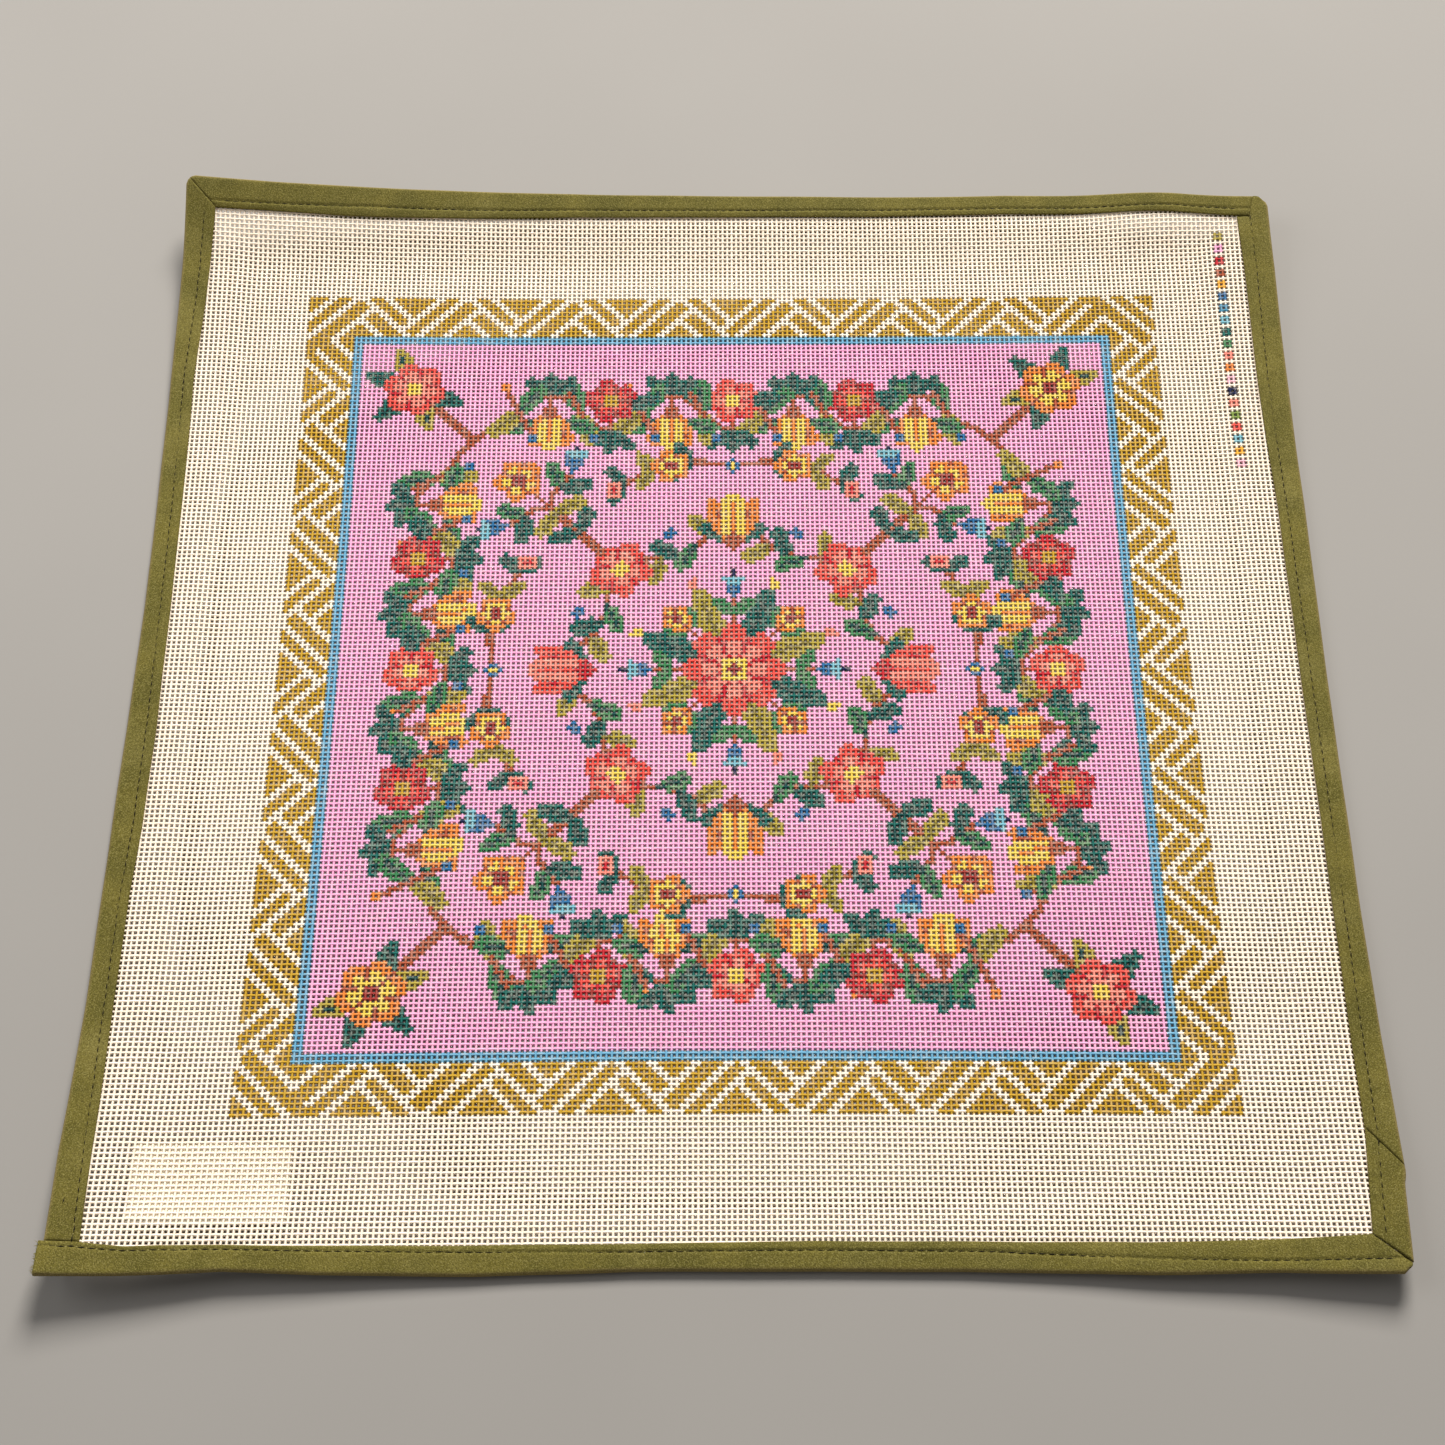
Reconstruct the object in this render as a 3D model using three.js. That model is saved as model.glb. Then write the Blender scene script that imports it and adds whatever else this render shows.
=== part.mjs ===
// Needlepoint canvas panel: a square of mono canvas, bound all round with folded twill tape, with a
// slip of paper lying behind its lower left. Millimetres, +X to the right, +Y to the panel's top
// edge, +Z up. The panel lies face up: its middle is flat on the surface and its corners curl up.
// Plan positions are worked out from the middle of the open canvas, and the whole group is then
// moved so that the middle of its bounding box stands over the origin.
import * as THREE from 'three';

// Canvas: the open area is counted in holes.
const MESH_PER_INCH = 13;
const PITCH = 25.4 / MESH_PER_INCH;
const OPEN_COLUMNS = 228;
const OPEN_ROWS = 230;
const HALF_WIDTH = (OPEN_COLUMNS * PITCH) / 2;
const HALF_HEIGHT = (OPEN_ROWS * PITCH) / 2;
const CANVAS_THICKNESS = 1.0;
const CANVAS_TURN_IN = { x: 6.0, y: 2.2 }; // how far the raw edges run on inside the tape
const CANVAS_CELLS = 13; // from the flat middle to the open canvas's edge, each way
const MIN_CELL = 1.0; // no two plan lines of a piece are nearer than this

// Tape: one layer folded over the edge, so that it covers both faces.
const TAPE_THICKNESS = 1.0;
const CLEARANCE = 0.3; // between any two pieces
const TAPE_LAP = 7.2; // the tape lies no further in than this over the open canvas
const UNDER_LAYER_SHORT = 0.8; // the under layer stops this much short of the upper one
const FOLD_RUN = 2.4; // the upper face starts to turn down this far from the fold's tip
const FOLD_SHOULDER = { back: 0.9, height: 0.75 }; // height as a share of the upper face's
const BORE_RUN = 2.0; // the hollow starts to close this far from the fold's tip
const MIDDLE_STATIONS = 6; // along the tape, across the canvas's wide middle cell
const CORNER_RUN = 9; // plain tape kept clear of a mitre fold
const INNER_CORNER = 0.15; // half the width of the mitre's inner end
const LONG_SHARE = 0.906; // the tape join, as a share of the right side from its top
const JOIN_SLOPE = 1.2; // run of the diagonal join for each millimetre of tape width
const JOIN_GAP = 0.48; // along the tape, which leaves the clearance across the slanted join
const JOIN_SLANT_REACH = 26; // the stations lean less and less over this length from the join
const CUT_END_OVERHANG = 1.5; // the bottom tape's cut end past the left tape's fold

// Width of the tape outside the open canvas and its lap over it, in millimetres at the start, middle
// and end of each side in turn, clockwise from the lower left corner. corner is the cut across the
// fold at the side's far end.
const SIDES = {
  left: { from: [-1, -1], to: [-1, 1], outward: [-1, 0], width: [10.9, 8.6, 9.9], lap: [0.8, 1.6, 2.0], corner: 2.2 },
  top: { from: [-1, 1], to: [1, 1], outward: [0, 1], width: [6.6, 7.6, 4.6], lap: [6.9, 3.6, 4.6], corner: 3.4 },
  right: { from: [1, 1], to: [1, -1], outward: [1, 0], width: [9.8, 9.9, 12.0], lap: [3.4, 0.1, 1.2], corner: 3.2 },
  bottom: { from: [1, -1], to: [-1, -1], outward: [0, -1], width: [7.9, 5.9, 9.4], lap: [4.8, 3.6, 0.8], corner: 0 },
};

// Curl: how far each corner stands off the surface, and how it fades towards the flat middle.
const CORNER_LIFTS = [
  { x: -1, y: -1, lift: 8.5 },
  { x: 1, y: -1, lift: 6.0 },
  { x: -1, y: 1, lift: 9.5 },
  { x: 1, y: 1, lift: 7.0 },
];
const FLAT_SHARE = 0.25; // of the half width and half height
const CURL_POWER_X = 1.8;
const CURL_POWER_Y = 2.6;
const TOP_EDGE_LIFT = 1.4;
const TOP_EDGE_REACH = 90;
// The top edge's last stretch turns up more, most of all on the left, and on through the tape.
const TOP_LIP = { left: 4.6, left_x: -120, right: 1.0, right_x: 160, reach: 30, power: 1.3 };
const PUCKER = { x: 184, lift: 2.2, reach_x: 24, reach_y: 30 }; // a small rise in the top edge
const TAPE_RISE_REACH = 18; // over this the canvas climbs onto the tape's under layer

// Label: left and bottom are measured from the open canvas's lower left corner, below from the
// canvas's lower face.
const LABEL = { left: 13.3, bottom: 10.3, below: 0.45, width: 55.5, height: 28.6, thickness: 1.0 };

const clamp01 = (value) => Math.min(1, Math.max(0, value));
const smooth = (value) => value * value * (3 - 2 * value);

/** How far the canvas's lower face stands above the surface at a plan point. */
function canvasLift(x, y) {
  const alongX = Math.max(0, Math.abs(x) / HALF_WIDTH - FLAT_SHARE) / (1 - FLAT_SHARE);
  const alongY = Math.max(0, Math.abs(y) / HALF_HEIGHT - FLAT_SHARE) / (1 - FLAT_SHARE);
  const curl = alongX ** CURL_POWER_X * alongY ** CURL_POWER_Y;
  const corner = CORNER_LIFTS.find((row) => row.x * x >= 0 && row.y * y >= 0);
  const fromTop = clamp01(1 - (HALF_HEIGHT - y) / TOP_EDGE_REACH);
  const puckerAcross = Math.exp(-(((x - PUCKER.x) / PUCKER.reach_x) ** 2));
  const puckerDown = clamp01(1 - (HALF_HEIGHT - y) / PUCKER.reach_y);
  const towardLeft = clamp01((TOP_LIP.right_x - x) / (TOP_LIP.right_x - TOP_LIP.left_x));
  const lip = TOP_LIP.right + (TOP_LIP.left - TOP_LIP.right) * towardLeft;
  const lipUp = Math.max(0, 1 - (HALF_HEIGHT - y) / TOP_LIP.reach) ** TOP_LIP.power;
  const inside = Math.min(HALF_WIDTH - Math.abs(x), HALF_HEIGHT - Math.abs(y));
  const ontoTape = smooth(clamp01(1 - (inside - TAPE_LAP) / TAPE_RISE_REACH));
  return (
    corner.lift * curl +
    TOP_EDGE_LIFT * smooth(fromTop) +
    lip * lipUp +
    PUCKER.lift * puckerAcross * smooth(puckerDown) +
    (TAPE_THICKNESS + CLEARANCE) * ontoTape
  );
}

/** Geometry from points and triangles, each triangle with its own corners. */
function facetedGeometry(points, triangles) {
  const geometry = new THREE.BufferGeometry();
  geometry.setAttribute('position', new THREE.Float32BufferAttribute(points.flat(), 3));
  geometry.setIndex(triangles.flat());
  const faceted = geometry.toNonIndexed();
  faceted.computeVertexNormals();
  return faceted;
}

/** A closed sheet over a grid of plan lines: topAt gives its upper face. */
function sheetSolid(xs, ys, topAt, thickness) {
  const points = [];
  const index = (column, row, layer) => (row * xs.length + column) * 2 + layer;
  for (const y of ys) {
    for (const x of xs) {
      const top = topAt(x, y);
      points.push([x, y, top], [x, y, top - thickness]);
    }
  }
  const triangles = [];
  const quad = (a, b, c, d) => triangles.push([a, b, c], [a, c, d]);
  const lastColumn = xs.length - 1;
  const lastRow = ys.length - 1;
  for (let row = 0; row < lastRow; row += 1) {
    for (let column = 0; column < lastColumn; column += 1) {
      const corners = [[column, row], [column + 1, row], [column + 1, row + 1], [column, row + 1]];
      quad(...corners.map(([i, j]) => index(i, j, 0)));
      quad(...corners.reverse().map(([i, j]) => index(i, j, 1)));
    }
  }
  const wall = (i, j, k, l) => quad(index(i, j, 1), index(k, l, 1), index(k, l, 0), index(i, j, 0));
  for (let column = 0; column < lastColumn; column += 1) {
    wall(column, 0, column + 1, 0);
    wall(column + 1, lastRow, column, lastRow);
  }
  for (let row = 0; row < lastRow; row += 1) {
    wall(lastColumn, row, lastColumn, row + 1);
    wall(0, row + 1, 0, row);
  }
  return facetedGeometry(points, triangles);
}

/** Plan lines of the canvas on one axis: one wide cell in the flat middle, even cells outside it. */
function canvasLines(half, turnIn = 0) {
  const outside = [];
  for (let step = 0; step < CANVAS_CELLS; step += 1) {
    outside.push(half * (FLAT_SHARE + ((1 - FLAT_SHARE) * step) / CANVAS_CELLS));
  }
  outside.push(half - TAPE_LAP, half);
  if (turnIn) outside.push(half + turnIn);
  return [...outside.map((value) => -value).reverse(), ...outside];
}

/** The lines of a list that lie between two values, with the two values themselves at its ends. */
function linesBetween(lines, from, to) {
  return [from, ...lines.filter((value) => value > from + MIN_CELL && value < to - MIN_CELL), to];
}

/** A measure at a share of a side's length: a curve through its start, middle and end. */
function bowed([start, middle, end], share) {
  const bow = middle - (start + end) / 2;
  return start + (end - start) * share + 4 * bow * share * (1 - share);
}

/** The tape's C-shaped section: out from the open canvas's edge, up from the canvas's middle layer. */
function tapeSection(width, lap) {
  const bore = CANVAS_THICKNESS / 2 + CLEARANCE;
  const face = bore + TAPE_THICKNESS;
  const foldStart = width - FOLD_RUN;
  const shoulder = width - FOLD_SHOULDER.back;
  const boreStart = width - BORE_RUN;
  const underEdge = UNDER_LAYER_SHORT - lap;
  return [
    { out: -lap, up: bore },
    { out: -lap, up: face },
    { out: foldStart, up: face },
    { out: shoulder, up: FOLD_SHOULDER.height * face },
    { out: width, up: 0 },
    { out: shoulder, up: -FOLD_SHOULDER.height * face },
    { out: foldStart, up: -face },
    { out: underEdge, up: -face },
    { out: underEdge, up: -bore },
    { out: boreStart, up: -bore },
    { out: width - TAPE_THICKNESS, up: 0 },
    { out: boreStart, up: bore },
  ];
}

/** The section of a side's tape at a share of its length. */
function sideSection(side, share) {
  return tapeSection(bowed(side.width, share), bowed(side.lap, share));
}

/** One station of a side: slideAt moves each point along the tape by its distance from the edge. */
function tapeStation(side, share, slideAt) {
  const corner = new THREE.Vector2(side.from[0] * HALF_WIDTH, side.from[1] * HALF_HEIGHT);
  const end = new THREE.Vector2(side.to[0] * HALF_WIDTH, side.to[1] * HALF_HEIGHT);
  const along = end.clone().sub(corner).normalize();
  const outward = new THREE.Vector2(...side.outward);
  return sideSection(side, clamp01(share)).map(({ out, up }, index) => {
    const plan = corner.clone().lerp(end, share);
    plan.addScaledVector(along, slideAt(out, index)).addScaledVector(outward, out);
    const lift = canvasLift(plan.x, plan.y) + CANVAS_THICKNESS / 2;
    return [plan.x, plan.y, lift + up];
  });
}

const sideLength = (side) => 2 * (side.from[0] === side.to[0] ? HALF_HEIGHT : HALF_WIDTH);

/** Plain stations of a side between two distances along it: slantAt gives each one's slide. */
function plainStations(side, from, to, slantAt = () => () => 0) {
  const length = sideLength(side);
  const lines = canvasLines(length / 2).map((value) => value + length / 2);
  const flat = (FLAT_SHARE * length) / MIDDLE_STATIONS;
  for (let step = 1; step < MIDDLE_STATIONS; step += 1) {
    lines.push((length * (1 - FLAT_SHARE)) / 2 + step * flat);
  }
  lines.sort((a, b) => a - b);
  return linesBetween(lines, from, to).map((along) => tapeStation(side, along / length, slantAt(along)));
}

/** The two stations of a mitre fold, on either side of the cut across its tip. */
function mitreStations(side, next) {
  const here = sideSection(side, 1);
  const there = sideSection(next, 0);
  const tip = side.width[2];
  const cut = (index) => INNER_CORNER + (side.corner * Math.max(0, here[index].out)) / tip;
  return [
    tapeStation(side, 1, (out, index) => there[index].out - cut(index)),
    tapeStation(next, 0, (out, index) => cut(index) - here[index].out),
  ];
}

/** A closed solid through a list of stations, capped at both ends. */
function sweptTape(stations) {
  const count = stations[0].length;
  const triangles = [];
  for (let station = 0; station < stations.length - 1; station += 1) {
    for (let index = 0; index < count; index += 1) {
      const a = station * count + index;
      const b = station * count + ((index + 1) % count);
      triangles.push([a, b + count, b], [a, a + count, b + count]);
    }
  }
  const outline = sideSection(SIDES.left, 0).map(({ out, up }) => new THREE.Vector2(out, up));
  const last = (stations.length - 1) * count;
  for (const [a, b, c] of THREE.ShapeUtils.triangulateShape(outline, [])) {
    triangles.push([a, c, b], [last + a, last + b, last + c]);
  }
  return facetedGeometry(stations.flat(), triangles);
}

/** The first length of tape: up the left side, across the top and down the right to the join. */
function longBinding() {
  const { left, top, right, bottom } = SIDES;
  const join = LONG_SHARE * sideLength(right);
  const slant = (along) => (out) => JOIN_SLOPE * out * clamp01(1 - (join - along) / JOIN_SLANT_REACH);
  return sweptTape([
    ...plainStations(left, bottom.lap[2] + CLEARANCE, sideLength(left) - CORNER_RUN),
    ...mitreStations(left, top),
    ...plainStations(top, CORNER_RUN, sideLength(top) - CORNER_RUN),
    ...mitreStations(top, right),
    ...plainStations(right, CORNER_RUN, join, slant),
  ]);
}

/** The second length: from the join round the lower right corner and along the bottom edge. */
function shortBinding() {
  const { left, right, bottom } = SIDES;
  const join = LONG_SHARE * sideLength(right) + JOIN_GAP;
  const end = sideLength(right) - CORNER_RUN;
  const slant = (along) => (out) => (JOIN_SLOPE * out * (end - along)) / (end - join);
  const cutEnd = left.width[0] + CUT_END_OVERHANG;
  return sweptTape([
    ...plainStations(right, join, end, slant),
    ...mitreStations(right, bottom),
    ...plainStations(bottom, CORNER_RUN, sideLength(bottom)),
    tapeStation(bottom, 1, () => cutEnd),
  ]);
}

function canvas() {
  const topAt = (x, y) => canvasLift(x, y) + CANVAS_THICKNESS;
  const xs = canvasLines(HALF_WIDTH, CANVAS_TURN_IN.x);
  const ys = canvasLines(HALF_HEIGHT, CANVAS_TURN_IN.y);
  return sheetSolid(xs, ys, topAt, CANVAS_THICKNESS);
}

function label() {
  const left = LABEL.left - HALF_WIDTH;
  const bottom = LABEL.bottom - HALF_HEIGHT;
  const xs = linesBetween(canvasLines(HALF_WIDTH), left, left + LABEL.width);
  const ys = linesBetween(canvasLines(HALF_HEIGHT), bottom, bottom + LABEL.height);
  return sheetSolid(xs, ys, (x, y) => canvasLift(x, y) - LABEL.below, LABEL.thickness);
}

const PIECES = [
  { name: 'canvas', make: canvas, colour: 0xe9e0c8, roughness: 0.9 },
  { name: 'binding_long', make: longBinding, colour: 0x6f6a30, roughness: 0.85 },
  { name: 'binding_short', make: shortBinding, colour: 0x6f6a30, roughness: 0.85 },
  { name: 'label', make: label, colour: 0xf0ead8, roughness: 0.8 },
];

const panel = new THREE.Group();
for (const { name, make, colour, roughness } of PIECES) {
  const material = new THREE.MeshStandardMaterial({ color: colour, roughness, metalness: 0 });
  const mesh = new THREE.Mesh(make(), material);
  mesh.name = name;
  panel.add(mesh);
}
const box = new THREE.Box3().setFromObject(panel);
const middle = box.getCenter(new THREE.Vector3());
panel.position.set(-middle.x, -middle.y, -box.min.z);
panel.updateMatrixWorld(true);

export default panel;
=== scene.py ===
import bpy
import numpy as np
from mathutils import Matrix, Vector


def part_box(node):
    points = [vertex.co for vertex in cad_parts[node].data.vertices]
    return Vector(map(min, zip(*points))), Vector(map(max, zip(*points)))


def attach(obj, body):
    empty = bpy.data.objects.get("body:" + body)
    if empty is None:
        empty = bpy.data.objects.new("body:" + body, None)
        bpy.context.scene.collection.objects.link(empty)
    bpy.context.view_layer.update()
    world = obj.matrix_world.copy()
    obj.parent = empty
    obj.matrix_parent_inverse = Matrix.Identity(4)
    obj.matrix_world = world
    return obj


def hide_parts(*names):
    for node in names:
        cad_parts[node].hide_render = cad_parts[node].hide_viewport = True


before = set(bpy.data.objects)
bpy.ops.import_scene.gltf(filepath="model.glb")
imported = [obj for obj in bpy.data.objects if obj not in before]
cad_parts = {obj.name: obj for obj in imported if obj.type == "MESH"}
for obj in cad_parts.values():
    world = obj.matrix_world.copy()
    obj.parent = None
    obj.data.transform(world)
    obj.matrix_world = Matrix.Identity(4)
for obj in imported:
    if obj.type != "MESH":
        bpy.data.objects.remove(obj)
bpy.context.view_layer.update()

canvas_low, canvas_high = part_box("canvas")

MM = 0.001
SEED = 13

# Canvas: the open area is counted in holes. Plan positions are worked out from its middle.
PITCH = 25.4 / 13 * MM
OPEN_COLUMNS = 228
OPEN_ROWS = 230
HALF_WIDTH = OPEN_COLUMNS * PITCH / 2
HALF_HEIGHT = OPEN_ROWS * PITCH / 2
CENTRE_X = (canvas_low.x + canvas_high.x) / 2
CENTRE_Y = (canvas_low.y + canvas_high.y) / 2
CANVAS_THICKNESS = 1.0 * MM
TURN_IN = {"x": 4.0 * MM, "y": 1.6 * MM}  # the threads run on this far under the tape
THREAD_WIDTH = 1.16 * MM
THREAD_HEIGHT = 0.5 * MM
WEAVE_WAVE = 0.1 * MM  # a thread passes this far over or under the middle layer
THREAD_WANDER = 0.05 * MM
THREAD_UNEVEN = 0.07  # spread of the threads' widths, as a share
WANDER_KNOTS = 30  # a thread changes its course this often, and its width this often
UNEVEN_KNOTS = 60
BANDS = 4  # the canvas is made in this many pieces, one above the other
CORNER_PULL = {"left": -2.6 * MM, "right": 0.9 * MM}  # the weave is drawn out at its corners
COLUMN_SWAY = -0.65 * MM
ROW_BOW = 1.2 * MM  # the lower rows bow up in their middle and down at their ends
ROW_BOW_FALL = -2.7 * MM
ROW_BOW_FADE = (0.45, 1.25)
PULL_POWERS = (3, 1.6)

# Curl: the part's own heights above the surface.
CORNER_LIFTS = {"bottom": (8.5 * MM, 6.0 * MM), "top": (9.5 * MM, 7.0 * MM)}
FLAT_SHARE = 0.25
CURL_POWER_X = 1.8
CURL_POWER_Y = 2.6
TOP_EDGE_LIFT = 1.4 * MM
TOP_EDGE_REACH = 90 * MM
PUCKER = {"x": 184 * MM, "lift": 2.2 * MM, "reach_x": 24 * MM, "reach_y": 30 * MM}
TOP_LIP = {"left": 4.6 * MM, "right": 1.0 * MM, "left_x": -120 * MM, "right_x": 160 * MM}
TOP_LIP_REACH = 30 * MM
TOP_LIP_POWER = 1.3
TAPE_RISE = 1.3 * MM
TAPE_RISE_REACH = 18 * MM
TAPE_LAP = 7.2 * MM

# Painted design, in stitches from its middle, and the canvas's first column and row there.
FIRST_COLUMN = -115
FIRST_ROW = -117
BORDER_OUTSIDE = 91
BORDER_DEEP = 10
LINE_DEEP = 2
FIELD_HALF = BORDER_OUTSIDE - BORDER_DEEP - LINE_DEEP
BORDER_REPEAT = 23
VINE_RADIUS = 62
VINE_SWING = 4.6
VINE_REPEAT = 26
WREATH_RADIUS = 31
WREATH_SWING = 2.0
VINE_FLOWER = (5.8, 5)  # a flower's reach and its number of petals
CORNER_FLOWER = (7, 6)
WREATH_FLOWER = (6.6, 5)
BUD_FLOWER = (3.6, 5)
MIDDLE_FLOWER = (10.5, 8)
SPRIG_FLOWER = (5.4, 5)
SPRAY_FLOWER = (4.2, 5)
LEAF = (7, 3.4)  # a leaf's length and width
VINE_LEAF = (8.5, 4.0)
BEND_LEAF = (7.6, 3.6)
CORNER_LEAF = (11, 4)
WREATH_LEAF = (8, 3.4)
MIDDLE_LEAF = (14, 5.2)
BUD_LEAF = (5, 2.6)
SPRAY_LEAF = (5.6, 3.0)
BERRY = 1.3
BEAD = 0.9
VINE_STEM = 1.7  # widths of stems
CORNER_STEM = 1.5
BRANCH = 1.4
STALK = 1.2
THIN_STALK = 1.0
KEY = {"column": 106, "top": 106, "side": 2, "period": 3}  # the colour key's little squares
KEY_PAINTS = (
    "olive pink red russet amber blue steel light_blue teal green salmon orange pale_pink navy "
    "salmon leaf coral light_blue amber pale_pink"
).split()

# Paint colours, as display values from 0 to 255.
PAINTS = {
    "bare": (255, 241, 222), "pink": (246, 176, 214), "sky": (110, 172, 204),
    "gold": (198, 158, 46), "coral": (232, 84, 74), "red": (198, 40, 52),
    "salmon": (244, 144, 128), "orange": (232, 138, 58), "russet": (176, 88, 58),
    "olive": (178, 160, 64), "moss": (134, 120, 48), "teal": (26, 104, 96),
    "forest": (20, 74, 72), "blue": (42, 110, 160), "steel": (72, 144, 176),
    "light_blue": (122, 184, 200), "navy": (26, 36, 76), "yellow": (236, 206, 88),
    "amber": (242, 178, 62), "leaf": (124, 150, 62), "pale_pink": (248, 196, 208),
    "green": (62, 132, 84), "brick": (160, 56, 50),
}
PAINT_NAMES = list(PAINTS)
ROSETTE_PAINTS = [
    ("coral", "red", "salmon", "yellow"),
    ("orange", "russet", "yellow", "brick"),
    ("red", "brick", "coral", "gold"),
]
TULIP_PAINTS = [("coral", "salmon", "red"), ("orange", "yellow", "russet")]
BELL_PAINTS = ("blue", "light_blue", "navy")
VEINS = {"olive": "moss", "teal": "forest", "green": "forest"}
STEM_PAINT = "russet"

# Tape: each side runs clockwise from the lower left corner. Its edges are read at a few places as
# (share of the side, width outside the open canvas, lap over it), in millimetres, and its machine
# stitching as (share of the side, distance from the inner edge).
SIDES = {
    "left": {
        "outward": (-1, 0),
        "edges": [(0, 11.4, 0.6), (0.08, 11.7, 0.0), (0.2, 10.2, 0.0), (0.3, 10.0, 0.4),
                  (0.36, 9.8, 2.0), (0.45, 9.0, 2.6), (0.57, 8.3, 2.1), (0.68, 8.7, 1.5),
                  (0.81, 9.5, 0.2), (0.9, 9.4, 2.1), (1, 9.0, 3.6)],
        "seam": [(0, 2.2), (0.1, 3.0), (0.5, 3.9), (0.9, 4.2), (1, 4.4)],
    },
    "top": {
        "outward": (0, 1),
        "edges": [(0, 8.1, 4.9), (0.06, 7.8, 5.0), (0.13, 7.6, 5.9), (0.25, 7.5, 5.4),
                  (0.35, 7.7, 3.8), (0.48, 7.4, 3.4), (0.66, 7.5, 2.4), (0.77, 7.7, 1.9),
                  (0.86, 6.6, 3.0), (0.93, 5.1, 4.2), (1, 2.6, 7.1)],
        "seam": [(0, 2.6), (0.06, 3.0), (0.15, 4.3), (0.3, 3.4), (0.6, 2.8), (0.85, 2.6), (1, 3.2)],
    },
    "right": {
        "outward": (1, 0),
        "edges": [(0, 10.1, 3.4), (0.07, 10.8, 2.0), (0.2, 10.6, 1.9), (0.33, 10.7, 0.5),
                  (0.5, 9.9, 0.5), (0.7, 9.8, 0.4), (0.83, 10.4, 0.8), (0.91, 11.2, 0.9),
                  (0.96, 9.9, 2.6), (1, 8.6, 3.8)],
        "seam": [(0, 5.4), (0.3, 3.8), (0.6, 4.0), (0.88, 4.2), (1, 4.2)],
    },
    "bottom": {
        "outward": (0, -1),
        "edges": [(0, 9.1, 4.9), (0.08, 7.8, 3.6), (0.18, 7.9, 3.1), (0.32, 6.3, 4.1),
                  (0.44, 6.0, 4.4), (0.58, 5.8, 3.6), (0.7, 7.5, 3.0), (0.82, 7.2, 2.7),
                  (0.89, 6.5, 2.7), (0.94, 7.9, 2.3), (0.965, 8.5, 1.7), (0.985, 8.8, 2.4),
                  (1, 8.9, 3.1), (1.03, 9.0, 3.4)],
        "seam": [(0, 8.6), (0.06, 7.8), (0.3, 3.6), (0.6, 2.8), (0.9, 1.6), (1, 1.9)],
    },
}
TAPE_FACE = 1.55 * MM  # the tape's puffed face, from the canvas's middle layer
TAPE_LIP = 1.15 * MM
TAPE_BORE = 0.6 * MM  # the face's height where it starts, over the hollow for the canvas,
BORE_LEVEL = 0.48 * MM  # which is this high on each side of the middle layer
BORE_START = 0.2 * MM  # and runs from this far in from the tape's edge
BORE_STOP = 1.1 * MM  # to this far from its fold
LIP_RISE = 2.4 * MM  # from its turned-in edge the tape reaches its full height over this
LIP_ROUND = 0.45 * MM
LIP_START = 0.3  # share of its height that the tape has at its very edge
FOLD_ROUND = 1.5 * MM
# The fold's paler tone is partly real wear and partly a painted sheen, light caught on the rounded
# fold.
FOLD_WEAR_AND_SHEEN = 1.5 * MM  # the fold is paler over this
SEAM_SINK = 0.4 * MM
SEAM_REACH = 0.6 * MM
LIP_STEPS = (0, 0.15, 0.45, 1.0)  # finer steps across the tape: mm from its inner edge,
SEAM_STEPS = (-1.7, -0.7, 0, 0.7, 1.7)  # in reaches of the seam,
FOLD_STEPS = (1.7, 1.1, 0.6, 0.25, 0.06, 0)  # and mm from its fold
FACE_START, FACE_STOP, FACE_PLACES = 1.6 * MM, 2.4 * MM, 9  # even steps between them
STATION_STEP = 1.6 * MM
END_REACH = 24 * MM  # a slanted end of a strip straightens over this
END_STEPS = (0.25, 0.6, 1.1)  # extra stations, in mm from each end
LIFT_REACH = 9 * MM
END_ROUND = 1.2 * MM  # each strip's end turns down over this
END_DROP = 0.5 * MM
TAPE_SWELL = 0.22 * MM  # slow rise and fall of the tape's face
EDGE_WAVER = 0.16 * MM
WAVER_LENGTHS = (23 * MM, 9.1 * MM, 61 * MM)
JOIN_SHARE = 0.906
JOIN_SLOPE = 1.2
JOIN_GAP = 0.15 * MM
BUTT_GAP = 0.02 * MM  # between the left strip's start and the bottom tape
UPPER_LEFT_ROUND = (3.6 * MM, 1.5)  # a corner's reach and the power of its curve, 1 for a cut
UPPER_RIGHT_CUT = (3.9 * MM, 1.0)
LOWER_RIGHT_CUT = (3.6 * MM, 1.0)
PLEAT = (5.4 * MM, 6.9 * MM)  # run of the upper right fold, at its inner and outer end
PLEAT_TUCK = 0.7 * MM
OPEN_FOLD_STOP = 3.6 * MM  # the lower right fold meets the right edge this far from the bottom
OPEN_FOLD_GAP = (0.25 * MM, 0.9 * MM)
CUT_END_OVERHANG = 1.5 * MM
STITCH_LENGTH = 2.9 * MM
STITCH_PITCH = 3.4 * MM
STITCH_WIDTH = 0.52 * MM
STITCH_PROUD = 0.08 * MM
STITCH_MARGIN = 0.8 * MM  # the seam stops this far from a strip's end
STITCH_JITTER = 0.07 * MM  # spread of the stitches' places,
STITCH_TILT = 0.021  # and of their slopes
DOT_LENGTH = 0.6 * MM  # a pale dot, where a stitch goes through the tape
DOT_WIDTH = 0.34 * MM
DOT_SUNK = 0.12 * MM
STITCH, DOT, FIBRE = 1, 2, 3  # a tape face's thread attribute, nought on the tape itself
THREAD_PAINTS = {STITCH: (30, 25, 8), DOT: (176, 164, 112), FIBRE: (132, 122, 70)}
GRAIN_HEIGHT = 0.7  # share of a stitch's width
FIBRES = 90
FIBRE_WIDTH = 0.16 * MM
FIBRE_HEIGHTS = (-1.2 * MM, 1.3 * MM)
FIBRE_REACHES = (0.3 * MM, 1.5 * MM)
FIBRE_LEAN = 0.35 * MM
FIBRE_ROOT = 0.4 * MM
STRAY = ((16.0, 18.6), (6.9, 6.5))  # along the left side and out from it, in mm
STRAY_WIDTH = 0.45 * MM

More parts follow.
